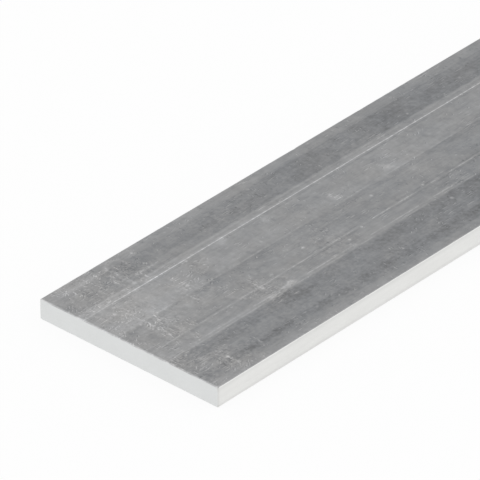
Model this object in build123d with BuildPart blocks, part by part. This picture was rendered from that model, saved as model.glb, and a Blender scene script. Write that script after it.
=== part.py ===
from build123d import *
import os

# Flat bar of extruded aluminium in its mill finish, sawn square to a cut length.
# It is one solid: a single section drawn straight through the die, with rounded
# long edges, and two sawn ends whose outline has been broken with a file.
#
# Frame, in millimetres: X across the wide faces, Y along the bar and Z up through
# its thickness. The origin is the middle of the wide face that the bar lies on.

# Driving dimensions
bar_width = 30.0  # across the wide faces
bar_thickness = 3.0  # from one wide face to the other
bar_length = 300.0  # from one sawn end to the other
edge_radius = 0.25  # left by the die on each of the four long edges
end_break = 0.1  # filed off the outline of each sawn end

with BuildPart() as flat_bar:
    # The die's section stands on Z = 0, half way along the bar, and runs out from
    # there to both sawn ends.
    with BuildSketch(Plane.XZ) as die_section:
        RectangleRounded(bar_width, bar_thickness, edge_radius, align=(Align.CENTER, Align.MIN))
    extrude(amount=bar_length / 2, both=True)

    # The file takes the burr off all the way round each saw cut.
    sawn_ends = flat_bar.faces().filter_by(Axis.Y)
    chamfer(sawn_ends.edges(), length=end_break)

flat_bar.part.label = "flat_bar"

os.makedirs("parts", exist_ok=True)
export_step(flat_bar.part, "parts/flat_bar.step")
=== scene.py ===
"""Looks of a cut length of extruded aluminium flat bar in its mill finish.

The bar is one piece. Its skin is a surface worked out with numpy: the die's section
carried along the length, with the die lines, handling dents and filed ends as real
relief. Three finishes dress it: the wide faces that rub in transport, darkened by
painted shade for the greyer room that they reflect, the long edges in the metal's
bright tone and the freshly sawn ends. Marks, finishes and saw are given in
millimetres, the bar's mesh and the studio in metres.
"""

import logging
import math
from collections.abc import Callable
from dataclasses import dataclass, field
from enum import Enum

import bpy
import numpy as np
from bpy.types import ID, Material, Mesh, NodeSocket, NodeTree, Object
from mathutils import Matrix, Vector


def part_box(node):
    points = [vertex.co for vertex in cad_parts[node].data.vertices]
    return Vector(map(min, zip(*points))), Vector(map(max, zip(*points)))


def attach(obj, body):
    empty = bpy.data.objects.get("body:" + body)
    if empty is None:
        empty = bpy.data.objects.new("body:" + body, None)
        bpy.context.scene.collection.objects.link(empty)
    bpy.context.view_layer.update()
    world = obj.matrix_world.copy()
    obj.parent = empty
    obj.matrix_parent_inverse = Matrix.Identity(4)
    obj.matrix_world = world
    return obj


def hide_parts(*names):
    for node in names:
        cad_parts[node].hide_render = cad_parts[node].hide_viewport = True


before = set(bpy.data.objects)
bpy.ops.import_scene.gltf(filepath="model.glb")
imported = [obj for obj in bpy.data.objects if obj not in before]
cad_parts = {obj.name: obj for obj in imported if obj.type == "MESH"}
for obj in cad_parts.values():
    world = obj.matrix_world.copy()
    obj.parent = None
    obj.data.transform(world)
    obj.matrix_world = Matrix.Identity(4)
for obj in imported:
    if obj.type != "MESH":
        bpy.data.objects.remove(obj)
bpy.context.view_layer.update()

NODE = "flat_bar"
PIECE = "dressed_bar"
BODY = "root"
MM = 0.001
MM_PER_METRE = 1000.0

Array = np.ndarray
log = logging.getLogger("flat_bar")


class Part(Enum):
    """Which finish a face of the bar wears, by its place in the material slots."""

    SKIN = 0
    LONG_EDGE = 1
    SAWN_END = 2


class Run(float, Enum):
    """Which way a family of marks runs, as its angle from the bar's length in degrees."""

    ALONG = 0.0
    ACROSS = 90.0
    SLANTED = 48.0
    COUNTER = -38.0


def put(name: str, data: ID) -> Object:
    """Puts a new object into the scene.

    Args:
        name: Its name.
        data: What it shows, such as a mesh.

    Returns:
        The object.
    """
    thing = bpy.data.objects.new(name, data)
    bpy.context.scene.collection.objects.link(thing)
    return thing


# --------------------------------------------------------------------------- nodes


@dataclass(frozen=True)
class Value:
    """What a node puts out at each place. Sums on it add Math nodes to its graph.

    Attributes:
        graph: The graph that it is in.
        socket: The node's output.
    """

    graph: "Graph"
    socket: NodeSocket

    def other(self, name: str) -> "Value":
        """Returns another output of the same node."""
        return Value(self.graph, self.socket.node.outputs[name])

    def __add__(self, other: "Feed") -> "Value":
        """Returns the sum."""
        return self.graph.math("ADD", self, other)

    __radd__ = __add__

    def __mul__(self, other: "Feed") -> "Value":
        """Returns the product."""
        return self.graph.math("MULTIPLY", self, other)

    def __sub__(self, other: "Feed") -> "Value":
        """Returns the difference."""
        return self.graph.math("SUBTRACT", self, other)

    def __rsub__(self, other: float) -> "Value":
        """Returns the difference from a plain number."""
        return self.graph.math("SUBTRACT", other, self)

    def __truediv__(self, other: "Feed") -> "Value":
        """Returns the quotient."""
        return self.graph.math("DIVIDE", self, other)

    def __rtruediv__(self, other: float) -> "Value":
        """Returns a plain number divided by it."""
        return self.graph.math("DIVIDE", other, self)

    def __abs__(self) -> "Value":
        """Returns it without its sign."""
        return self.graph.math("ABSOLUTE", self)


Feed = Value | float | tuple[float, ...]


class Graph:
    """Adds nodes to a tree from left to right and joins them by their sockets."""

    STEP = 190.0
    DROP = 260.0
    PER_ROW = 40

    def __init__(self, tree: NodeTree) -> None:
        """Empties the tree that the nodes go into."""
        self.tree = tree
        tree.nodes.clear()

    def add(self, kind: str, feeds: dict[str | int, Feed] | None = None, **settings: object) -> Value:
        """Adds one node.

        Args:
            kind: Its type, such as "ShaderNodeMath".
            feeds: What goes into its inputs, by name or number.
            settings: Its other properties.

        Returns:
            Its first output, if it has any.
        """
        row, column = divmod(len(self.tree.nodes), self.PER_ROW)
        node = self.tree.nodes.new(kind)
        node.location = (self.STEP * column, -self.DROP * row)
        for name, value in settings.items():
            setattr(node, name, value)
        for key, value in (feeds or {}).items():
            if isinstance(value, Value):
                self.tree.links.new(value.socket, node.inputs[key])
            else:
                node.inputs[key].default_value = value
        return Value(self, next(iter(node.outputs), None))

    def math(self, operation: str, *values: Feed) -> Value:
        """Returns the result of a Math node on the values."""
        return self.add("ShaderNodeMath", dict(enumerate(values)), operation=operation)

    def vector(self, operation: str, *values: Feed) -> Value:
        """Returns the result of a Vector Math node on the values."""
        return self.add("ShaderNodeVectorMath", dict(enumerate(values)), operation=operation)

    def scaled(self, vector: Feed, share: Feed) -> Value:
        """Returns a vector or colour times a number."""
        return self.add("ShaderNodeVectorMath", {0: vector, "Scale": share}, operation="SCALE")

    def axes(self, value: Feed) -> tuple[Value, Value, Value]:
        """Returns the three numbers of a vector."""
        x = self.add("ShaderNodeSeparateXYZ", {0: value})
        return x, x.other("Y"), x.other("Z")

    def join(self, x: Feed, y: Feed, z: Feed) -> Value:
        """Returns the vector of three numbers."""
        return self.add("ShaderNodeCombineXYZ", {0: x, 1: y, 2: z})

    def ramp(self, value: Feed, low: Feed, high: Feed, start: Feed = 0.0, end: Feed = 1.0) -> Value:
        """Returns value eased from low..high to start..end, held at both ends."""
        feeds = {0: value, 1: low, 2: high, 3: start, 4: end}
        return self.add("ShaderNodeMapRange", feeds, interpolation_type="SMOOTHSTEP")

    def noise(self, vector: Feed, scale: float, detail: float, rough: float = 0.5) -> Value:
        """Returns the 0..1 value of a Noise Texture."""
        feeds = {"Vector": vector, "Scale": scale, "Detail": detail, "Roughness": rough}
        return self.add("ShaderNodeTexNoise", feeds)

    def noise_on_line(self, along: Feed, detail: float) -> Value:
        """Returns the 0..1 value of a Noise Texture on a line, with waves about 1 long."""
        feeds = {"W": along, "Scale": 1.0, "Detail": detail}
        return self.add("ShaderNodeTexNoise", feeds, noise_dimensions="1D")

    def turned(self, vector: Feed, angle: Feed) -> Value:
        """Returns a vector turned about the upright axis through the origin."""
        feeds = {"Vector": vector, "Angle": angle}
        return self.add("ShaderNodeVectorRotate", feeds, rotation_type="Z_AXIS")


class EffectGroup(Graph):
    """The graph of one shared effect, which is a node group.

    Attributes:
        half_length: Half the bar's length.
        position: The place on the bar.
        numbers: The other inputs.
    """

    def __init__(self, name: str, needs: tuple[str, ...], half_length: float) -> None:
        """Makes the group and its sockets.

        Args:
            name: The group's name.
            needs: Names of its number inputs, which follow position.
            half_length: Half the bar's length.
        """
        super().__init__(bpy.data.node_groups.new(name, "ShaderNodeTree"))
        new_socket = self.tree.interface.new_socket
        new_socket(name="position", in_out="INPUT", socket_type="NodeSocketVector")
        for number in needs:
            new_socket(name=number, in_out="INPUT", socket_type="NodeSocketFloat")
        new_socket(name="mask", in_out="OUTPUT", socket_type="NodeSocketFloat")
        self.half_length = half_length
        self.position = self.add("NodeGroupInput")
        self.numbers = [self.position.other(number) for number in needs]

    def speckle(self, scale: float, low: float, high: float, start: float, end: float) -> Value:
        """Returns noise at the place, eased from low..high to start..end."""
        return self.ramp(self.noise(self.position, scale, detail=2.0), low, high, start, end)


@dataclass
class Effects:
    """The shared effects of one bar, each made when it is first asked for.

    Attributes:
        half_length: Half the bar's length.
        middle: Height of the bar's middle.
        made: The groups made so far, by the function that draws them.
    """

    half_length: float
    middle: float
    made: dict[Callable, NodeTree] = field(default_factory=dict)

    def get(self, kind: type["Mark"]) -> NodeTree:
        """Looks up or makes a group.

        Args:
            kind: The kind of mark.

        Returns:
            The group that draws marks of that kind.
        """
        if kind.draw not in self.made:
            g = EffectGroup(kind.__name__.lower(), kind.NEEDS, self.half_length)
            g.add("NodeGroupOutput", {0: kind.draw(g)})
            self.made[kind.draw] = g.tree
        return self.made[kind.draw]


class Coat(Graph):
    """The graph of one finish's material.

    Attributes:
        material: The material.
        effects: The shared effects.
        place: The place on the bar.
    """

    def __init__(self, name: str, effects: Effects) -> None:
        """Makes the material, with nothing in it but the place.

        Args:
            name: The material's name.
            effects: The shared effects.
        """
        self.material = bpy.data.materials.new(name)
        self.material.use_nodes = True
        super().__init__(self.material.node_tree)
        self.effects = effects
        self.place = self.scaled(self.add("ShaderNodeTexCoord").other("Object"), MM_PER_METRE)


# --------------------------------------------------------------------------- marks


@dataclass(frozen=True, kw_only=True)
class Mark:
    """Something on the metal, drawn by a shared effect that takes the numbers in NEEDS.

    Attributes:
        lift: How much brighter than the face it is, as a share, or darker if negative.
    """

    lift: float = 0.0

    NEEDS = ()

    @staticmethod
    def draw(g: EffectGroup) -> Value:
        """Returns where it lies, worked out in its effect's graph."""
        raise NotImplementedError

    def mask(self, coat: Coat, **given: Feed) -> Value:
        """Adds the effect that draws the mark.

        Args:
            coat: The material's graph.
            given: Numbers that stand in for its own.

        Returns:
            Where it lies, from 0 to 1.
        """
        numbers = {name: given.get(name, getattr(self, name)) for name in self.NEEDS}
        feeds = {"position": coat.place, **numbers}
        return coat.add("ShaderNodeGroup", feeds, node_tree=coat.effects.get(type(self)))


@dataclass(frozen=True, kw_only=True)
class Strip(Mark):
    """A strip of the wide face that runs the whole length, as the die left it; the two along the rims are
    painted highlight.

    Attributes:
        at: Its middle, across the face from the centre line.
        half: Half its width.
        soft: How far its sides fade.
        waver: How far it sways from side to side.
        patch: Length of the stretches in which it comes and goes.
        broken: How much of it is missing between those stretches, from 0 to 1.
    """

    at: float
    half: float
    soft: float
    waver: float = 0.12
    patch: float = 20.0
    broken: float = 0.0

    NEEDS = ("at", "half", "soft", "waver", "patch", "broken")
    SWAY_SCALE = 0.45
    SWAY = (0.25, 0.75, -1.0, 1.0)
    SPREAD = 7.31
    MISSING = (0.58, 0.42)
    GRAIN = (1.7, 0.3, 0.7, 0.55, 1.3)

    @staticmethod
    def draw(g: EffectGroup) -> Value:
        """Draws strips.

        Args:
            g: The effect's graph.

        Returns:
            One in a strip's middle, easing to nothing beside it, patchy along the length.
        """
        at, half, soft, waver, patch, broken = g.numbers
        x, y, z = g.axes(g.position)
        sway = g.ramp(g.noise(g.position, Strip.SWAY_SCALE, detail=3.0), *Strip.SWAY)
        across = g.ramp(abs(x + sway * waver - at), half + soft, half)
        patchy = g.noise_on_line(y / patch + at * Strip.SPREAD + z, detail=3.0)
        missing = g.ramp(patchy, *Strip.MISSING) * broken
        return across * (1.0 - missing) * g.speckle(*Strip.GRAIN)


@dataclass(frozen=True, kw_only=True)
class DieLine(Strip):
    """A fine line that a nick in the die draws along the whole bar, with a rubbed crest.

    Attributes:
        height: How far it stands above the face, or below if negative.
    """

    height: float
    waver: float = 0.0
    patch: float = 12.0
    broken: float = 0.3


@dataclass(frozen=True, kw_only=True)
class Scratch(Mark):
    """A straight scratch on a wide face.

    Attributes:
        x: Where it starts across the face, from the centre line.
        y: Where it starts along the bar, from the near sawn end.
        angle: Its direction, in degrees from the bar's length towards its left edge.
        length: Its length.
        half: Half its width.
    """

    x: float
    y: float
    angle: float
    length: float
    half: float

    NEEDS = ("x", "y", "angle", "length", "half")
    WANDER = (0.7, 0.2, 0.8, -0.2, 0.2)
    RIM, CORE = 2.0, 0.3
    FADE_IN, FADE_OUT = 0.4, 0.8
    GRAIN = (2.6, 0.4, 0.6, 0.2, 1.0)

    @staticmethod
    def draw(g: EffectGroup) -> Value:
        """Draws scratches.

        Args:
            g: The effect's graph.

        Returns:
            One on a thin line from the start along the angle, speckled along its length.
        """
        start_x, start_y, angle, length, half = g.numbers
        start = g.join(start_x, start_y - g.half_length, 0.0)
        away = g.vector("SUBTRACT", g.position, start)
        x, y, _ = g.axes(g.turned(away, g.math("RADIANS", angle * -1.0)))
        aside = abs(x + g.speckle(*Scratch.WANDER))
        across = g.ramp(aside, half * Scratch.RIM, half * Scratch.CORE)
        along = g.ramp(y, 0.0, Scratch.FADE_IN) * g.ramp(length - y, 0.0, Scratch.FADE_OUT)
        return along * across * g.speckle(*Scratch.GRAIN)


@dataclass(frozen=True, kw_only=True)
class Spot(Mark):
    """A ragged round place on a wide face that is worn, pale or dark.

    Attributes:
        x: Its middle across the face, from the centre line.
        y: Its middle along the bar, from the near sawn end.
        reach: Where it has faded to nothing, from its middle.
        wear: How knocked and rubbed it is, from 0.
    """

    x: float
    y: float
    reach: float
    wear: float = 0.0

    NEEDS = ("x", "y", "reach")
    GRAIN = (0.8, 0.3, 0.7, 0.6, 1.4)

    @staticmethod
    def draw(g: EffectGroup) -> Value:
        """Draws spots.

        Args:
            g: The effect's graph.

        Returns:
            One in a spot's middle, easing to nothing at reach, with a ragged rim.
        """
        x, y, reach = g.numbers
        middle = g.join(x, y - g.half_length, 0.0)
        away = g.vector("DISTANCE", g.position, middle).other("Value")
        return g.ramp(away * g.speckle(*Spot.GRAIN), reach, 0.0)


@dataclass(frozen=True, kw_only=True)
class NearEnd(Mark):
    """A change near both sawn ends.

    Attributes:
        reach: Where it has faded to nothing, from the cut.
    """

    reach: float

    NEEDS = ("reach",)

    @staticmethod
    def draw(g: EffectGroup) -> Value:
        """One at the cut, easing to nothing at reach."""
        _, y, _ = g.axes(g.position)
        return g.ramp(g.half_length - abs(y), g.numbers[0], 0.0)


@dataclass(frozen=True, kw_only=True)
class Scuffs(Mark):
    """A family of short rubbed strokes that all run one way.

    Attributes:
        run: The way they run.
        width: Width of a stroke.
        length: Length of a stroke.
        share: How much of the face they cover, from 0 for none to 1 for all.
        soft: How gently a stroke ends at its rim, from 0.03 for crisp to 0.3.
        seed: Picks one of the many patterns.
        worn: How much more of them there is where the face is worn, as a share of share.
    """

    run: Run
    width: float
    length: float
    share: float
    soft: float = 0.05
    seed: float
    worn: float

    NEEDS = ("run", "width", "length", "share", "soft", "seed")
    SPREAD = 31.7
    CUT_AT_NONE, CUT_FALL = 0.78, 0.56
    CLUSTER_SCALES = (0.11, 0.5)
    CLUSTER = (0.35, 0.65, 0.07, -0.06)
    SHADE_SHIFT = 0.7
    SHADE = 0.4

    @staticmethod
    def draw(g: EffectGroup) -> Value:
        """Draws strokes.

        Args:
            g: The effect's graph.

        Returns:
            The crests of noise stretched along one direction, in clusters and shaded on one side.
        """
        run, width, length, share, soft, seed = g.numbers
        placed = g.vector("ADD", g.position, g.join(seed * Scuffs.SPREAD, 0.0, 0.0))
        x, y, z = g.axes(g.turned(placed, g.math("RADIANS", run)))
        cut = Scuffs.CUT_AT_NONE - share * Scuffs.CUT_FALL
        for scale in Scuffs.CLUSTER_SCALES:
            cut += g.ramp(g.noise(placed, scale, detail=1.0), *Scuffs.CLUSTER)
        stroke, beside = (
            g.ramp(g.noise(g.join(x / width + shift, y / length, z), 1.0, detail=1.5), cut, cut + soft)
            for shift in (0.0, Scuffs.SHADE_SHIFT)
        )
        return stroke - beside * Scuffs.SHADE


@dataclass(frozen=True, kw_only=True)
class Specks(Mark):
    """Scattered dots.

    Attributes:
        spacing: About how far apart the places for them lie.
        size: Radius of the largest.
        share: How many of the places have one, from 0 to 1.
        worn: How much the share grows where the face is worn.
    """

    spacing: float
    size: float
    share: float
    worn: float = 0.0

    NEEDS = ("spacing", "size", "share")

    @staticmethod
    def draw(g: EffectGroup) -> Value:
        """Draws specks.

        Args:
            g: The effect's graph.

        Returns:
            The middles of a scattered cell pattern, in a share of the cells only.
        """
        spacing, size, share = g.numbers
        distance = g.add("ShaderNodeTexVoronoi", {"Vector": g.position, "Scale": 1.0 / spacing})
        luck = g.add("ShaderNodeSeparateColor", {0: distance.other("Color")})
        dot = g.ramp(distance, size / spacing * luck.other("Green"), 0.0)
        return dot * g.math("LESS_THAN", luck, share)


@dataclass(frozen=True, kw_only=True)
class Mottle(Mark):
    """An even cover of soft blotches, brighter and darker than the face.

    Attributes:
        across: Size of a blotch across the bar.
        along: Its size along the bar.
        depth: How much the surface goes up and down.
        worn: How much more they show where the face is worn, as a share of lift.
    """

    across: float
    along: float
    depth: float = 0.0
    worn: float = 0.0

    NEEDS = ("across", "along")
    ROUGH = 0.55
    WAVE = (0.2, 0.8, -1.0, 1.0)

    @staticmethod
    def draw(g: EffectGroup) -> Value:
        """Draws blotches.

        Args:
            g: The effect's graph.

        Returns:
            Noise of one size across and another along the bar, here from -1 to 1.
        """
        across, along = g.numbers
        squeezed = g.vector("DIVIDE", g.position, g.join(across, along, across))
        return g.ramp(g.noise(squeezed, 1.0, detail=3.0, rough=Mottle.ROUGH), *Mottle.WAVE)


# ------------------------------------------------------------------------ finishes


@dataclass(frozen=True)
class Finish:
    """What all the bar's finishes share.

    Attributes:
        name: The material's name.
        tone: Its colour, as linear red, green and blue; the wide faces' is darkened by painted shade.
        roughness: How far it spreads a reflection.
        covers: The blotches, from coarse to fine.
    """

    name: str
    tone: tuple[float, float, float]
    roughness: float
    covers: tuple[Mottle, ...]

    def mottled(self, coat: Coat, wear: Feed = 0.0) -> tuple[Feed, Feed]:
        """Lays the covers over each other.

        Args:
            coat: The material's graph.
            wear: How worn each place is.

        Returns:
            The tone, about 1, and the height.
        """
        tone, height = 1.0, 0.0
        for cover in self.covers:
            wave = cover.mask(coat)
            tone += wave * (wear * (cover.worn * cover.lift) + cover.lift)
            if cover.depth:
                height += wave * cover.depth
        return tone, height

    @staticmethod
    def marked(coat: Coat, value: Feed, marks: tuple[Mark, ...]) -> Feed:
        """Lays marks on the surface.

        Args:
            coat: The material's graph.
            value: Its tone or another value that their lift goes into.
            marks: The marks.

        Returns:
            The value with the marks in it.
        """
        for mark in marks:
            value += mark.mask(coat) * mark.lift
        return value

    @staticmethod
    def close(coat: Coat, colour: Feed, tone: Feed, roughness: Feed, height: Feed) -> Material:
        """Ends the material with its metal shader.

        Args:
            coat: The material's graph.
            colour: The colour.
            tone: How bright each place is, as a share of the colour.
            roughness: The roughness at each place.
            height: Fine relief.

        Returns:
            The finished material.
        """
        bump = coat.add("ShaderNodeBump", {"Height": height, "Strength": 1.0, "Distance": MM})
        feeds = {"Base Color": coat.scaled(colour, tone), "Roughness": roughness, "Normal": bump}
        metal = coat.add("ShaderNodeBsdfPrincipled", {**feeds, "Metallic": 1.0})
        coat.add("ShaderNodeOutputMaterial", {0: metal})
        return coat.material


@dataclass(frozen=True)
class MillSkin(Finish):
    """The wide faces: a little rougher and darkened by painted shade, with the die's strips and lines,
    rubbed and scratched in handling.

    Attributes:
        marks: The die's strips, the scratches and what changes near the ends, with painted light among
            them: brighter bands along both rims and a brightening towards the ends.
        lines: The die's fine lines.
        spots: The worn, pale and dark places.
        scuffs: The families of rubbed strokes.
    """

    marks: tuple[Mark, ...]
    lines: tuple[DieLine, ...]
    spots: tuple[Spot, ...]
    scuffs: tuple[Scuffs, ...]

    UNDERSIDE_SHIFT = 400.0
    AT_END = NearEnd(reach=14.0, lift=0.035)
    END_WEAR = 0.36
    LINE_LOSS = 0.6
    SPECKS = Specks(spacing=0.8, size=0.5, share=0.015, lift=0.6, worn=0.1)
    WORN_LIFT = 0.04
    WORN_WARMTH = 0.25
    WARM_CLOUDS = Mottle(across=4.0, along=7.0, lift=0.25)
    WARMTH = (0.012, 0.0, -0.014)
    DARK_TO_PALE = (0.84, 1.18)
    COOL_TO_WARM = (-0.35, 0.06)
    RUBBED_DEPTH = 0.003
    RUBBED_SMOOTHER = 0.06

    def build(self, effects: Effects) -> Material:
        """Makes the material.

        Args:
            effects: The shared effects.

        Returns:
            The finished material.
        """
        coat = Coat(self.name, effects)
        coat.place = self.by_face(coat)
        near = self.AT_END.mask(coat)
        wear, paler = self.spotted(coat, near)
        tone, height = self.mottled(coat, wear)
        tone = self.marked(coat, tone + paler, self.marks)
        for line in self.lines:
            tone += line.mask(coat) * (1.0 - near * self.LINE_LOSS) * line.lift
        rubbed: Feed = 0.0
        for scuff in self.scuffs:
            mask = scuff.mask(coat, share=wear * (scuff.worn * scuff.share) + scuff.share)
            tone += mask * scuff.lift
            rubbed = coat.math("MAXIMUM", mask, rubbed)
        specks = self.SPECKS.mask(coat, share=wear * self.SPECKS.worn + self.SPECKS.share)
        tone += specks * self.SPECKS.lift
        rough = self.roughness - rubbed * self.RUBBED_SMOOTHER
        height -= rubbed * self.RUBBED_DEPTH
        return self.close(coat, self.tinted(coat, wear, tone), tone, rough, height)

    def tinted(self, coat: Coat, wear: Value, tone: Value) -> Value:
        """Warms the colour where it is pale or worn and in slow clouds, and cools it where it is dark.

        Args:
            coat: The material's graph.
            wear: How worn each place is.
            tone: How bright each place is, about 1.

        Returns:
            The colour.
        """
        warm = coat.ramp(tone, *self.DARK_TO_PALE, *self.COOL_TO_WARM)
        warm = self.marked(coat, warm + wear * self.WORN_WARMTH, (self.WARM_CLOUDS,))
        return coat.vector("ADD", self.tone, coat.scaled(self.WARMTH, warm))

    def spotted(self, coat: Coat, near: Value) -> tuple[Value, Value]:
        """Adds the spots to the wear and the paler tone that the face has at the sawn ends.

        Args:
            coat: The material's graph.
            near: How near each place is to a sawn end, from 0 to 1.

        Returns:
            How worn each place is, and how much paler, as a share.
        """
        wear, paler = near * self.END_WEAR, near * self.AT_END.lift
        for spot in self.spots:
            mask = spot.mask(coat)
            if spot.wear:
                wear += mask * spot.wear
            if spot.lift:
                paler += mask * spot.lift
        return wear, paler + wear * self.WORN_LIFT

    def by_face(self, coat: Coat) -> Value:
        """Turns the pattern half round underneath, and takes it from another stretch of noise.

        Args:
            coat: The material's graph.

        Returns:
            The place in the pattern.
        """
        x, y, z = coat.axes(coat.place)
        under = coat.math("LESS_THAN", z, coat.effects.middle)
        return coat.join(x * (1.0 - under * 2.0), y, under * self.UNDERSIDE_SHIFT)


@dataclass(frozen=True)
class DrawnEdge(Finish):
    """The long edges: drawn smooth by the die, in the metal's bright tone, darker towards their rims, and
    with painted shade along each sawn end's corner.
    """

    # The NearEnd mark is painted shade: the long edges darker within 0.4 mm of each cut, a dark line down
    # the corner.
    MARKS = (Specks(spacing=1.1, size=0.3, share=0.25, lift=-0.06), NearEnd(reach=0.4, lift=-0.1))
    ROUGHER = Mottle(across=2.0, along=9.0, lift=0.04)
    RIM = (0.8, 1.15)
    RIM_LIFT = -0.06

    def build(self, effects: Effects) -> Material:
        """Makes the material.

        Args:
            effects: The shared effects.

        Returns:
            The finished material.
        """
        coat = Coat(self.name, effects)
        tone, height = self.mottled(coat)
        _, _, z = coat.axes(coat.place)
        # Darker in a band towards the top and bottom rims.
        tone += coat.ramp(abs(z - effects.middle), *self.RIM) * self.RIM_LIFT
        tone = self.marked(coat, tone, self.MARKS)
        rough = self.marked(coat, self.roughness, (self.ROUGHER,))
        return self.close(coat, self.tone, tone, rough, height)


@dataclass(frozen=True)
class SawnEnd(Finish):
    """The ends: clean metal with the saw blade's faint curved marks.

    Attributes:
        blade: Middle of the blade when it made them, across and up.
        pitch: Distance from one mark to the next.
    """

    blade: tuple[float, float]
    pitch: float

    WAVE = (0.25, 0.75, -1.0, 1.0)
    MARK_LIFT = 0.008
    MARK_DEPTH = 0.002
    ROUGH_CHANGE = 0.03

    def build(self, effects: Effects) -> Material:
        """Makes the material.

        Args:
            effects: The shared effects.

        Returns:
            The finished material.
        """
        coat = Coat(self.name, effects)
        tone, height = self.mottled(coat)
        x, _, z = coat.axes(coat.place)
        across, up = self.blade
        reach = coat.vector("LENGTH", coat.join(x - across, 0.0, z - up)).other("Value")
        mark = coat.ramp(coat.noise_on_line(reach / self.pitch, detail=2.0), *self.WAVE)
        rough = self.roughness + mark * self.ROUGH_CHANGE
        height += mark * self.MARK_DEPTH
        return self.close(coat, self.tone, tone + mark * self.MARK_LIFT, rough, height)


# ----------------------------------------------------------------------------- bar


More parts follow.
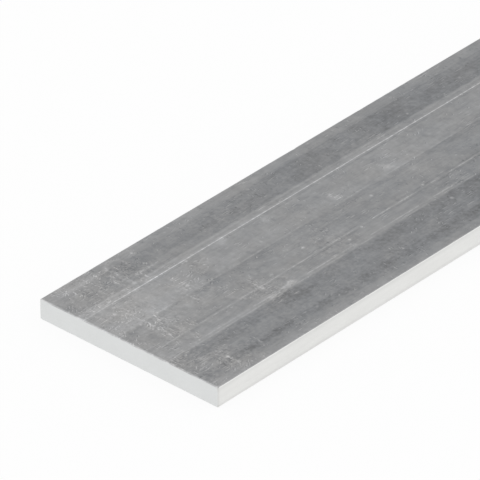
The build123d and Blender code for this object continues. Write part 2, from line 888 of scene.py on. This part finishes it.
@dataclass
class DressedBar:
    """The bar's own surface, with its relief, its finishes and its unrolled map.

    Attributes:
        width: Across the wide faces.
        thickness: From one wide face to the other.
        length: From one sawn end to the other.
        lines: The die lines.
        edge_radius: Radius of the four long edges.
        end_break: Flat filed round each sawn end.
        face_columns: How many faces go across each wide face.
        arc_columns: How many go round each long edge's corner.
        side_columns: How many go up the flat of each long edge.
        rows_between: How many go along the bar between the two filed breaks.
        dents: How many shallow handling dents there are.
        nicks: How many small nicks the long edges have.
        blade: Middle of the saw blade at the cut, across and up.
        seed: Picks the places of the dents and nicks.
    """

    width: float
    thickness: float
    length: float
    lines: tuple[DieLine, ...]
    blade: tuple[float, float]
    edge_radius: float = 0.25 * MM
    end_break: float = 0.1 * MM
    face_columns: int = 108
    arc_columns: int = 6
    side_columns: int = 8
    rows_between: int = 326
    dents: int = 110
    nicks: int = 46
    seed: int = 11

    FINE_STEPS = 6001
    LINE_CROWDING = 10.0
    LINE_REACH = 0.3 * MM
    END_CROWDING = 3.0
    END_REACH = 8 * MM
    NEAR_CROWDING = 1.6
    NEAR_EASE = 4 * MM
    ON_FLAT = 0.499
    LINE_WAVER = 0.25
    LINE_WAVES = (9 * MM, 23 * MM)
    DENT_RADIUS = (1.0, 2.8)
    DENT_DEPTH = (0.004, 0.016)
    NICK_RADIUS = (0.45, 0.9)
    NICK_DEPTH = (0.015, 0.05)
    NICK_INSET = 0.06 * MM
    # Share of each corner's arc that the wide faces' finish, with its painted shade, still covers.
    SHADED_SKIN_ROUND_CORNER = 0.5
    FILE_SQUEEZE = 10.0
    FILE_WAVES = (37.0, 11.0)
    FILE_UNEVEN = 0.3
    SAW_DEPTH = 0.004 * MM
    SAW_PITCH = 0.6 * MM
    MAP_GAP = 0.8 * MM
    END_ON_MAP = 2.3

    def build(self, finishes: list[Material]) -> Object:
        """Makes the piece.

        Args:
            finishes: The materials, in the order of Part.

        Returns:
            The closed bar at the origin, with its place in its mesh.
        """
        points, outward = self.section()
        rows = self.rows()
        last, count = len(rows) - 1, len(points)
        skin = self.skin_places(points, outward, rows)
        places = [skin.reshape(-1, 3)]
        quads = [self.skin_quads(last, count)]
        unrolled = [self.unrolled_skin(skin, rows)]
        parts = [np.tile(self.part_of_columns(count), last)]
        for row, far in ((0, False), (last, True)):
            start = sum(map(len, places))
            inner, grid = self.end_grid(skin[row], row * count, start, far)
            places.append(inner)
            quads.append(self.end_quads(grid, far))
            unrolled.append(self.unrolled_end(np.concatenate(places)[quads[-1]], far, rows))
            parts.append(np.full(len(quads[-1]), Part.SAWN_END.value))
        mesh = self.mesh_of(*map(np.concatenate, (places, quads, unrolled, parts)))
        smooth = np.zeros(len(mesh.polygons), bool)
        smooth[count : (last - 1) * count] = True
        mesh.polygons.foreach_set("use_smooth", smooth)
        for finish in finishes:
            mesh.materials.append(finish)
        return put(PIECE, mesh)

    @staticmethod
    def crowded(fine: Array, density: Array, gaps: int) -> Array:
        """Places that lie closest where the density is highest.

        The running total of the density, divided into equal shares, is read backwards.

        Args:
            fine: Many even places, from the first to the last.
            density: The density at each of them.
            gaps: How many gaps the places leave.

        Returns:
            The places, one more than the gaps.
        """
        total = np.concatenate([[0.0], np.cumsum((density[1:] + density[:-1]) / 2)])
        return np.interp(np.linspace(0, total[-1], gaps + 1), total, fine)

    def columns_across(self) -> Array:
        """Places across the top face's flat, crowded at the die lines.

        Returns:
            The places. Their density is one plus a bell curve at each line.
        """
        half = self.width / 2 - self.edge_radius
        fine = np.linspace(-half, half, self.FINE_STEPS)
        lines = np.array([line.at * MM for line in self.lines])
        bells = np.exp(-(((fine[:, None] - lines) / self.LINE_REACH) ** 2)).sum(1)
        return self.crowded(fine, 1 + self.LINE_CROWDING * bells, self.face_columns)

    def rows(self) -> Array:
        """Places along the bar: both cuts, and rows between the breaks.

        Their density is one, rising to the ends and over the first quarter of the bar.

        Returns:
            The places, from the near cut to the far one.
        """
        half = self.length / 2
        fine = np.linspace(self.end_break - half, half - self.end_break, self.FINE_STEPS)
        ends = self.END_CROWDING * np.exp(-(half - np.abs(fine)) / self.END_REACH)
        near = self.NEAR_CROWDING / (1 + np.exp((fine + half / 2) / self.NEAR_EASE))
        return np.concatenate([[-half], self.crowded(fine, 1 + ends + near, self.rows_between), [half]])

    def section(self) -> tuple[Array, Array]:
        """The die's section as a ring, and the way out of the metal at each point.

        It goes across the top from left to right, round a quarter circle, down the
        right edge and round another. The rest is that half turned half round about
        the bar's middle.

        Returns:
            Points and outward directions, both with a row (x, z) for each column.
        """
        across = self.columns_across()
        half, top, radius = self.width / 2, self.thickness, self.edge_radius
        turn = np.linspace(0, np.pi / 2, self.arc_columns + 1)[1:]
        drop = np.linspace(top - radius, radius, self.side_columns + 1)[1:]
        upper = np.stack([np.sin(turn), np.cos(turn)], 1)
        lower = np.stack([np.cos(turn), -np.sin(turn)], 1)
        points = np.concatenate([
            np.stack([across, np.full_like(across, top)], 1),
            [half - radius, top - radius] + radius * upper,
            np.stack([np.full_like(drop, half), drop], 1),
            [half - radius, radius] + radius * lower,
        ])[:-1]
        outward = np.concatenate([
            np.tile([0.0, 1.0], (len(across), 1)),
            upper,
            np.tile([1.0, 0.0], (len(drop), 1)),
            lower,
        ])[:-1]
        return np.concatenate([points, [0, top] - points]), np.concatenate([outward, -outward])

    def relief(self, x: Array, y: Array, z: Array) -> Array:
        """How far the surface stands out at each place.

        A die line is a bell curve across the face, whose height wavers slowly along
        the bar. A dent or nick is a bowl: one minus the squared distance over the
        squared radius, squared again, times its depth.

        Args:
            x: Places across the bar.
            y: Places along it.
            z: Heights.

        Returns:
            The relief, of the same shape.
        """
        half, top = self.width / 2, self.thickness
        over = np.where(z > top / 2, 1.0, -1.0)
        on_flat = (np.abs(z - top / 2) > self.ON_FLAT * top).astype(float)
        stand = np.zeros_like(x)
        for number, line in enumerate(self.lines):
            bell = np.exp(-(((x * over - line.at * MM) / (line.soft * MM)) ** 2))
            slow = np.sin(y / self.LINE_WAVES[0] + number) * np.sin(y / self.LINE_WAVES[1] + 2 * number)
            stand += on_flat * bell * (1 + self.LINE_WAVER * (slow - 1)) * line.height * MM
        draw = np.random.default_rng(self.seed)
        for number in range(self.dents + self.nicks):
            nick = number >= self.dents
            side = draw.choice([-1.0, 1.0])
            at_x = side * (half - self.NICK_INSET) if nick else draw.uniform(-half, half)
            at_y = draw.uniform(-self.length / 2, self.length / 2)
            at_z = draw.choice([0.0, top])
            radius = draw.uniform(*(self.NICK_RADIUS if nick else self.DENT_RADIUS)) * MM
            depth = draw.uniform(*(self.NICK_DEPTH if nick else self.DENT_DEPTH)) * MM
            reach = ((x - at_x) ** 2 + (y - at_y) ** 2 + (z - at_z) ** 2) / radius**2
            stand -= depth * np.clip(1 - reach, 0, None) ** 2
        return stand

    def skin_places(self, points: Array, outward: Array, rows: Array) -> Array:
        """The section carried along the bar and moved out by the relief.

        The two cuts are drawn in by the break. Its width goes up and down by a third, as
        a product of two sines round the section, because it is filed by hand.

        Args:
            points: The section's points.
            outward: The way out at each.
            rows: Places along the bar.

        Returns:
            Places, as rows x columns x 3.
        """
        x, y = np.meshgrid(points[:, 0], rows)
        z = np.broadcast_to(points[:, 1], x.shape)
        away = self.relief(x, y, z)
        turn = np.arctan2(points[:, 1] - self.thickness / 2, points[:, 0] / self.FILE_SQUEEZE)
        wave = np.sin(self.FILE_WAVES[0] * turn) * np.sin(self.FILE_WAVES[1] * turn + 1)
        away[[0, -1]] = -self.end_break * (1 + self.FILE_UNEVEN * wave)
        return np.stack([x + away * outward[:, 0], y, z + away * outward[:, 1]], -1)

    @staticmethod
    def skin_quads(gaps: int, count: int) -> Array:
        """Numbers the corners of the skin's faces, round the section and along the bar.

        Args:
            gaps: How many faces go along the bar.
            count: How many go round the section.

        Returns:
            Vertex numbers, as faces x 4.
        """
        row, column = np.meshgrid(np.arange(gaps), np.arange(count), indexing="ij")
        here, beside = row * count + column, row * count + (column + 1) % count
        return np.stack([here, beside, beside + count, here + count], -1).reshape(-1, 4)

    def part_of_columns(self, count: int) -> Array:
        """Picks the finish of each column of faces: the skin, darkened by painted shade, ends half way
        round each corner.

        Args:
            count: How many columns go round the section.

        Returns:
            A Part's value for each column.
        """
        shaded_columns = round(self.SHADED_SKIN_ROUND_CORNER * self.arc_columns)
        column = np.arange(count) % (count // 2)
        skin = (column < self.face_columns + shaded_columns) | (column >= count // 2 - shaded_columns)
        return np.where(skin, Part.SKIN.value, Part.LONG_EDGE.value)

    def end_grid(self, ring: Array, first: int, start: int, far: bool) -> tuple[Array, Array]:
        """A sawn end, as lines down from the top's columns to the underside's.

        They are level with the long edges' columns. The saw marks are rings about the
        blade's middle: each place lies inward by a sine of its distance from there.

        Args:
            ring: The skin's last row of places.
            first: The number of that row's first vertex.
            start: The number of the first new vertex.
            far: Whether this is the far end.

        Returns:
            The new places inside the ring, and the vertex number at each point of the grid.
        """
        across, count = self.face_columns, len(ring)
        deep = 2 * self.arc_columns + self.side_columns
        level = ring[across : across + deep + 1, 2]
        fall = (level[0] - level) / (level[0] - level[-1])
        upper = ring[: across + 1]
        lower = ring[count // 2 : count // 2 + across + 1][::-1]
        inner = upper + fall[1:-1, None, None] * (lower - upper)
        from_blade = np.hypot(inner[..., 0] - self.blade[0] * MM, inner[..., 2] - self.blade[1] * MM)
        sunk = self.SAW_DEPTH * (0.5 + 0.5 * np.sin(2 * np.pi * from_blade / self.SAW_PITCH))
        inner[..., 1] += -sunk if far else sunk
        numbers = start + np.arange(inner[..., 0].size).reshape(inner.shape[:2])
        top = np.arange(across + 1)
        under = count // 2 + top[::-1]
        middle = np.concatenate([top[None] + first, numbers, under[None] + first])
        down = np.arange(deep + 1)
        right = first + across + down
        left = first + (count // 2 + across + deep - down) % count
        return inner.reshape(-1, 3), np.column_stack([left, middle, right])

    @staticmethod
    def end_quads(grid: Array, far: bool) -> Array:
        """The four corners of every face of a sawn end, facing out of the metal."""
        corners = np.stack([grid[:-1, :-1], grid[1:, :-1], grid[1:, 1:], grid[:-1, 1:]], -1).reshape(-1, 4)
        return corners[:, ::-1] if far else corners

    def map_side(self, rows: Array) -> float:
        """Side of the square that the map is laid out in: half the bar's length and three gaps."""
        return rows[-1] + 3 * self.MAP_GAP

    def unrolled_skin(self, skin: Array, rows: Array) -> Array:
        """Where each corner of the skin's faces lies on the map.

        The skin is slit along the underside's left corner and unrolled, so its width
        is the way round the section. It is cut in two half way along, and the halves
        lie side by side.

        Args:
            skin: The skin's places.
            rows: Places along the bar.

        Returns:
            Map places, as faces x 4 x 2, from 0 to 1.
        """
        count = skin.shape[1]
        points, _ = self.section()
        step = np.linalg.norm(np.roll(points, -1, 0) - points, axis=1)
        slit = count // 2 + self.face_columns
        round_section = np.concatenate([[0.0], np.cumsum(np.roll(step, -slit))])
        order = (np.arange(count) - slit) % count
        left, right = round_section[order], round_section[order + 1]
        middle = int(np.argmin(np.abs(rows)))
        second = np.arange(len(rows) - 1) >= middle
        low, high = rows[:-1], rows[1:]
        from_row = np.where(second, rows[middle], rows[0])
        shift = self.MAP_GAP + np.where(second, round_section[-1] + self.MAP_GAP, 0.0)
        across = shift[:, None, None] + np.stack([left, right, right, left], -1)[None]
        along = self.MAP_GAP + np.stack([low, low, high, high], -1) - from_row[:, None]
        along = np.broadcast_to(along[:, None], across.shape)
        return np.stack([across, along], -1).reshape(-1, 4, 2) / self.map_side(rows)

    def unrolled_end(self, corners: Array, far: bool, rows: Array) -> Array:
        """Where a sawn end's corners lie on the map: stood on end beside the skin, and enlarged.

        Args:
            corners: Places of the corners, as faces x 4 x 3.
            far: Whether this is the far end.
            rows: Places along the bar.

        Returns:
            Map places, as faces x 4 x 2, from 0 to 1.
        """
        side = self.map_side(rows)
        tall = self.END_ON_MAP * self.width
        across = side - self.MAP_GAP - self.END_ON_MAP * corners[..., 2]
        up = self.END_ON_MAP * (corners[..., 0] + self.width / 2)
        along = self.MAP_GAP + far * (tall + self.MAP_GAP) + up
        return np.stack([across, along], -1) / side

    @staticmethod
    def mesh_of(places: Array, quads: Array, unrolled: Array, parts: Array) -> Mesh:
        """Puts the arrays into a mesh. A corner that repeats the one before it is left out.

        Args:
            places: Every vertex's place.
            quads: The four corners of every face.
            unrolled: The map places of those corners.
            parts: Every face's finish.

        Returns:
            The mesh.
        """
        kept = quads != np.roll(quads, 1, axis=1)
        corners = kept.sum(1)
        mesh = bpy.data.meshes.new(PIECE)
        mesh.vertices.add(len(places))
        mesh.vertices.foreach_set("co", places.astype(np.float32).ravel())
        mesh.loops.add(int(kept.sum()))
        mesh.loops.foreach_set("vertex_index", quads[kept].astype(np.int32))
        mesh.polygons.add(len(quads))
        starts = np.concatenate([[0], np.cumsum(corners)[:-1]])
        mesh.polygons.foreach_set("loop_start", starts.astype(np.int32))
        mesh.polygons.foreach_set("material_index", parts.astype(np.int32))
        mesh.update(calc_edges=True)
        layer = mesh.uv_layers.new(name="OFBake")
        layer.uv.foreach_set("vector", unrolled[kept].astype(np.float32).ravel())
        mesh.validate()
        return mesh


# -------------------------------------------------------------------------- studio


@dataclass(frozen=True, kw_only=True)
class Stand:
    """Where the camera or a lamp stands.

    Attributes:
        name: Its name.
        azimuth: Direction round its aim, in degrees; 0 is in front of the near sawn end.
        elevation: Height above the horizon, in degrees.
        distance: How far it stands from its aim.
        aim: The point that it looks at.
    """

    name: str
    azimuth: float
    elevation: float
    distance: float
    aim: tuple[float, float, float] = (0.0, 0.0, 0.0)

    def hold(self, data: ID) -> Object:
        """Puts a camera or lamp there.

        Args:
            data: What it is.

        Returns:
            The object, turned to its aim.
        """
        holder = put(self.name, data)
        a, e = math.radians(self.azimuth), math.radians(self.elevation)
        back = Vector((math.sin(a) * math.cos(e), -math.cos(a) * math.cos(e), math.sin(e)))
        holder.location = Vector(self.aim) + back * self.distance
        holder.rotation_mode = "QUATERNION"
        holder.rotation_quaternion = (-back).to_track_quat("-Z", "Y")
        return holder


@dataclass(frozen=True, kw_only=True)
class Lamp(Stand):
    """A square soft lamp that faces the bar.

    Attributes:
        size: Its side.
        power: Its power, in watts.
    """

    size: float
    power: float


@dataclass
class Studio:
    """A pale floor under soft light, and the camera.

    Attributes:
        lamps: The lamps.
        camera: Where the camera stands.
        lens: Its focal length, in millimetres.
        floor_half: Half the floor's side.
        floor_drop: How far the floor lies under the bar's underside.
        floor_tone: How white its paper is.
        plain: Share of it that shows as plain white to the camera and in reflections.
    """

    lamps: tuple[Lamp, ...]
    camera: Stand
    lens: float = 525.0
    floor_half: float = 20.0
    floor_drop: float = 0.02 * MM
    floor_tone: float = 0.98
    plain: float = 0.9

    WHITE = (1.0, 1.0, 1.0, 1.0)
    LOW_TO_HIGH = (0.08, 0.6)
    WHITE_TO_GREY = (1.0, 0.72)
    SENSOR = 36.0
    CLIP = (0.01, 100.0)

    def build(self) -> None:
        """Makes the floor, the world, the lamps and the camera."""
        self.make_floor()
        self.make_world()
        for lamp in self.lamps:
            self.hang(lamp)
        self.make_camera()
        bpy.context.scene.view_settings.view_transform = "Standard"

    def make_floor(self) -> None:
        """Lays the floor."""
        square = self.floor_half * np.array([[-1, -1, 0], [1, -1, 0], [1, 1, 0], [-1, 1, 0]])
        mesh = bpy.data.meshes.new("floor")
        mesh.from_pydata((square - [0, 0, self.floor_drop]).tolist(), [], [(0, 1, 2, 3)])
        mesh.materials.append(self.floor_paper())
        floor = put("floor", mesh)

    def floor_paper(self) -> Material:
        """Mixes the floor's paper.

        Returns:
            A matt paper that is mostly plain white to the camera and in reflections.
        """
        material = bpy.data.materials.new("floor_paper")
        material.use_nodes = True
        g = Graph(material.node_tree)
        camera = g.add("ShaderNodeLightPath")
        seen = g.math("MAXIMUM", camera, camera.other("Is Glossy Ray"))
        paper = g.add("ShaderNodeBsdfDiffuse", {"Color": (self.floor_tone,) * 3 + (1.0,)})
        white = g.add("ShaderNodeEmission", {"Color": self.WHITE, "Strength": 1.0})
        both = g.add("ShaderNodeMixShader", {0: seen * self.plain, 1: paper, 2: white})
        g.add("ShaderNodeOutputMaterial", {0: both})
        return material

    def make_world(self) -> None:
        """Lights the room: white at the horizon, greyer overhead."""
        world = bpy.data.worlds.new("soft_room")
        bpy.context.scene.world = world
        world.use_nodes = True
        g = Graph(world.node_tree)
        _, _, height = g.axes(g.add("ShaderNodeTexCoord").other("Generated"))
        level = g.ramp(height, *self.LOW_TO_HIGH, *self.WHITE_TO_GREY)
        back = g.add("ShaderNodeBackground", {"Color": self.WHITE, "Strength": level})
        g.add("ShaderNodeOutputWorld", {0: back})

    def hang(self, lamp: Lamp) -> None:
        """Hangs one lamp, which the camera itself doesn't see.

        Args:
            lamp: The lamp.
        """
        light = bpy.data.lights.new(lamp.name, "AREA")
        light.size = lamp.size
        light.energy = lamp.power
        lamp.hold(light).visible_camera = False

    def make_camera(self) -> None:
        """Sets up the long-lens camera."""
        data = bpy.data.cameras.new(self.camera.name)
        data.lens = self.lens
        data.sensor_width = self.SENSOR
        data.clip_start, data.clip_end = self.CLIP
        bpy.context.scene.camera = self.camera.hold(data)


# ------------------------------------------------------------------------ this bar

MARKS = (
    # painted highlight: a brighter band along the right rim, where the rounded edge's highlight spills
    # onto the face
    Strip(at=14.6, half=0.2, soft=0.5, lift=0.05),
    Strip(at=10.15, half=3.2, soft=0.4, lift=-0.15),
    Strip(at=12.05, half=0.3, soft=0.6, lift=-0.15, patch=9.0, broken=0.4),
    Strip(at=8.0, half=0.7, soft=0.5, lift=-0.08, patch=12.0, broken=0.45),
    Strip(at=6.3, half=0.35, soft=0.3, lift=0.08, patch=16.0, broken=0.5),
    Strip(at=-1.25, half=0.2, soft=0.45, lift=-0.09, patch=10.0, broken=0.3),
    Strip(at=-4.8, half=2.9, soft=0.35, lift=0.075),
    Strip(at=-3.4, half=0.4, soft=0.8, lift=0.06, patch=9.0, broken=0.5),
    Strip(at=-8.2, half=0.45, soft=0.25, lift=0.1, patch=30.0, broken=0.2),
    Strip(at=-10.9, half=1.95, soft=0.3, lift=-0.14),
    Strip(at=-10.7, half=0.15, soft=0.5, lift=-0.05, patch=12.0, broken=0.5),
    # painted highlight: a brighter band along the left rim, the rounded edge's reflection
    Strip(at=-14.4, half=0.6, soft=0.8, lift=0.05),
    Scratch(x=13.4, y=6.1, angle=90.0, length=2.9, half=0.16, lift=0.55),
    Scratch(x=12.5, y=11.3, angle=90.0, length=1.7, half=0.14, lift=0.5),
    Scratch(x=13.1, y=4.2, angle=80.0, length=3.6, half=0.14, lift=-0.25),
    Scratch(x=13.0, y=4.9, angle=78.0, length=3.4, half=0.12, lift=0.25),
    Scratch(x=2.9, y=4.9, angle=91.0, length=5.5, half=0.15, lift=0.45),
    Scratch(x=0.2, y=13.1, angle=92.0, length=2.0, half=0.15, lift=0.5),
    Scratch(x=-8.0, y=12.7, angle=88.0, length=2.2, half=0.15, lift=0.55),
    Scratch(x=-8.0, y=10.5, angle=90.0, length=6.4, half=0.3, lift=0.36),
    Scratch(x=-9.8, y=11.7, angle=0.0, length=4.7, half=0.12, lift=0.4),
    Scratch(x=-13.3, y=3.1, angle=0.0, length=6.9, half=0.25, lift=0.25),
    Scratch(x=6.5, y=19.0, angle=7.0, length=5.6, half=0.3, lift=0.35),
    Scratch(x=3.7, y=22.5, angle=42.0, length=2.2, half=0.2, lift=0.35),
    # painted light: the wide faces brighter over 70 mm towards each sawn end, the fall of their reflection
    # along the bar
    NearEnd(reach=70.0, lift=0.12),
    NearEnd(reach=0.2, lift=0.6),
)
DIE_LINES = (
    DieLine(at=-7.53, half=0.03, soft=0.1, height=0.016, lift=0.85, broken=0.1),
    DieLine(at=-7.03, half=0.036, soft=0.12, height=-0.008, lift=-0.12, patch=8.0, broken=0.8),
    DieLine(at=-8.47, half=0.042, soft=0.14, height=0.008, lift=0.13, patch=8.0, broken=0.8),
    DieLine(at=6.1, half=0.036, soft=0.12, height=0.012, lift=0.3, patch=7.0, broken=0.85),
    DieLine(at=6.6, half=0.03, soft=0.1, height=0.006, lift=0.2, patch=5.0, broken=1.0),
    DieLine(at=3.7, half=0.036, soft=0.12, height=0.012, lift=0.4, patch=4.0, broken=0.8),
    DieLine(at=4.1, half=0.048, soft=0.16, height=-0.008, lift=-0.14, patch=8.0, broken=0.7),
    DieLine(at=3.3, half=0.042, soft=0.14, height=-0.006, lift=-0.12, patch=5.0, broken=0.8),
    DieLine(at=-1.88, half=0.036, soft=0.12, height=0.008, lift=0.16, patch=6.0, broken=0.8),
)
SPOTS = (
    Spot(x=-4.2, y=8.5, reach=10.0, wear=0.2, lift=0.15),
    Spot(x=-12.5, y=5.0, reach=8.0, wear=0.4, lift=0.08),
    Spot(x=8.0, y=0.5, reach=5.0, wear=0.6, lift=0.04),
    Spot(x=1.4, y=6.4, reach=4.6, wear=0.9),
    Spot(x=-4.4, y=4.6, reach=4.6, wear=0.65),
    Spot(x=11.6, y=6.0, reach=4.8, wear=0.75, lift=0.06),
    Spot(x=-10.8, y=12.6, reach=4.2, wear=1.0),
    Spot(x=-3.0, y=14.5, reach=4.0, wear=0.8),
    Spot(x=-5.6, y=19.0, reach=3.6, wear=0.8),
    Spot(x=4.6, y=20.5, reach=5.0, wear=1.2),
    Spot(x=3.4, y=34.0, reach=5.0, wear=0.9),
    Spot(x=-2.4, y=55.0, reach=9.0, lift=0.08),
    Spot(x=-3.1, y=42.5, reach=1.2, wear=0.8, lift=0.34),
    Spot(x=-3.1, y=52.5, reach=1.1, wear=0.6, lift=0.28),
    Spot(x=-0.6, y=54.6, reach=1.4, lift=0.16),
    Spot(x=-7.2, y=25.3, reach=1.2, lift=0.34),
    Spot(x=-6.5, y=32.6, reach=1.0, lift=0.28),
    Spot(x=5.9, y=23.9, reach=1.5, wear=0.8, lift=0.24),
    Spot(x=-11.0, y=53.0, reach=3.4, lift=0.07),
    Spot(x=-10.6, y=62.0, reach=6.0, lift=-0.09),
    Spot(x=-3.4, y=18.2, reach=2.6, lift=-0.2),
    Spot(x=-1.2, y=25.5, reach=3.0, lift=-0.09),
    Spot(x=12.3, y=15.5, reach=2.6, lift=-0.12),
    Spot(x=8.3, y=9.2, reach=2.2, lift=-0.12),
    Spot(x=8.0, y=21.8, reach=3.0, lift=-0.14),
    Spot(x=8.4, y=56.5, reach=6.0, lift=-0.1),
)
SCUFFS = (
    Scuffs(run=Run.ALONG, width=0.2, length=1.6, share=0.15, lift=0.3, worn=0.7, seed=1.0),
    Scuffs(run=Run.ACROSS, width=0.22, length=0.9, share=0.06, lift=0.46, worn=3.0, seed=2.0, soft=0.07),
    Scuffs(run=Run.SLANTED, width=1.0, length=3.0, share=0.35, lift=-0.09, worn=0.0, seed=3.0, soft=0.15),
    Scuffs(run=Run.COUNTER, width=0.24, length=0.8, share=0.05, lift=0.45, worn=3.8, seed=4.0, soft=0.07),
    Scuffs(run=Run.SLANTED, width=0.36, length=0.5, share=0.06, lift=0.36, worn=3.4, seed=5.0, soft=0.09),
    Scuffs(run=Run.ACROSS, width=0.4, length=0.6, share=0.14, lift=-0.2, worn=0.9, seed=6.0, soft=0.1),
)
SAW_BLADE = (-34.0, 118.0)
SKIN = MillSkin(
    name="mill_skin",
    # painted shade: the wide faces' metal darkened far below the long edges' tone, for the greyer room
    # they reflect
    tone=(0.334, 0.336, 0.3405),
    roughness=0.42,
    covers=(
        Mottle(across=3.6, along=9.0, lift=0.065),
        Mottle(across=1.5, along=2.0, lift=0.1, depth=0.004, worn=0.45),
        Mottle(across=0.34, along=0.5, lift=0.042, depth=0.001, worn=3.6),
        Mottle(across=0.5, along=30.0, lift=0.04, worn=-0.3),
        Mottle(across=0.22, along=2.4, lift=0.052, worn=0.1),
    ),
    marks=MARKS,
    lines=DIE_LINES,
    spots=SPOTS,
    scuffs=SCUFFS,
)
EDGE = DrawnEdge(
    name="drawn_edge",
    tone=(0.801, 0.801, 0.785),
    roughness=0.36,
    covers=(
        Mottle(across=0.35, along=45.0, lift=0.015, depth=0.001),
        Mottle(across=1.5, along=6.0, lift=0.02),
        Mottle(across=0.3, along=0.6, lift=0.015),
    ),
)
END = SawnEnd(
    name="sawn_end",
    tone=(0.745, 0.757, 0.754),
    roughness=0.4,
    covers=(
        Mottle(across=3.0, along=3.0, lift=0.015),
        Mottle(across=0.3, along=0.3, lift=0.012),
    ),
    blade=SAW_BLADE,
    pitch=0.35,
)
LAMPS = (
    Lamp(name="key", azimuth=140.0, elevation=38.0, distance=2.0, size=2.2, power=6.0),
    Lamp(name="fill", azimuth=-60.0, elevation=60.0, distance=2.0, size=1.8, power=5.5),
)
CAMERA = Stand(
    name="camera",
    azimuth=41.885,
    elevation=32.62,
    distance=885.8 * MM,
    aim=(-5.44 * MM, -123.183 * MM, 3.0 * MM),
)


def main() -> None:
    """Builds the studio and the bar to the part's sizes, and logs the piece."""
    logging.basicConfig(level=logging.INFO, format="%(name)s: %(message)s")
    Studio(LAMPS, CAMERA).build()
    low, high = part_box(NODE)
    size = high - low
    effects = Effects(half_length=MM_PER_METRE * size.y / 2, middle=MM_PER_METRE * size.z / 2)
    finishes = [finish.build(effects) for finish in (SKIN, EDGE, END)]
    piece = DressedBar(size.x, size.z, size.y, DIE_LINES, SAW_BLADE).build(finishes)
    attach(piece, BODY)
    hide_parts(NODE)
    log.info("%s: %d faces, rides on %s, stands for %s", piece.name, len(piece.data.polygons), BODY, NODE)


if __name__ == "__main__":
    main()
